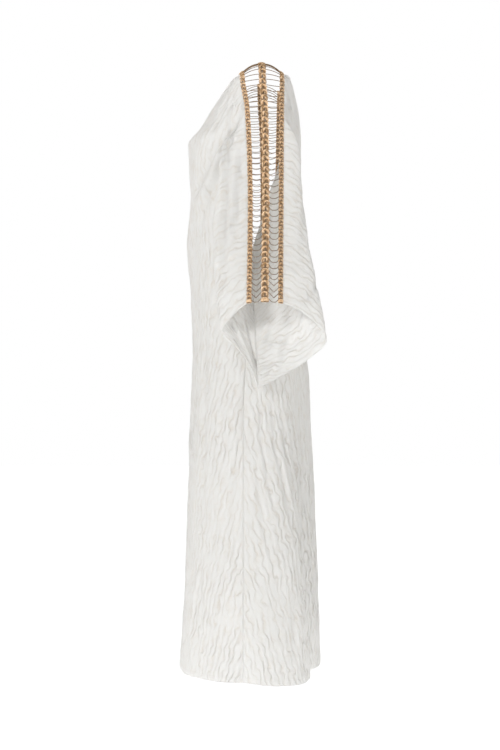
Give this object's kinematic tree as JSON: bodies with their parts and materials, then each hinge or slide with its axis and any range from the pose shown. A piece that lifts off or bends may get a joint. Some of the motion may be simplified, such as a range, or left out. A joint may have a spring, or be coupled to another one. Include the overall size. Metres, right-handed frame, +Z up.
{
  "type": "kaftan",
  "caption": "Full-length crinkled kaftan with a V neck, wide sleeves cut in one with the body and an openwork ladder trim down each sleeve, filled out as worn.",
  "frame": {"origin": "midway between the shoulders, level with the top of the trim at the neck", "axes": "+Z up along the garment's length, -Y out of its front, +X to the wearer's left"},
  "size_m": [0.6656, 0.3513, 1.4614],
  "materials": {
    "crinkled_cloth": "matte",
    "bronze_braid": "satin"
  },
  "bodies": {
    "root": {"front": "crinkled_cloth", "back": "crinkled_cloth", "ladder_trim_left": "bronze_braid", "ladder_trim_right": "bronze_braid"}
  },
  "joints": []
}
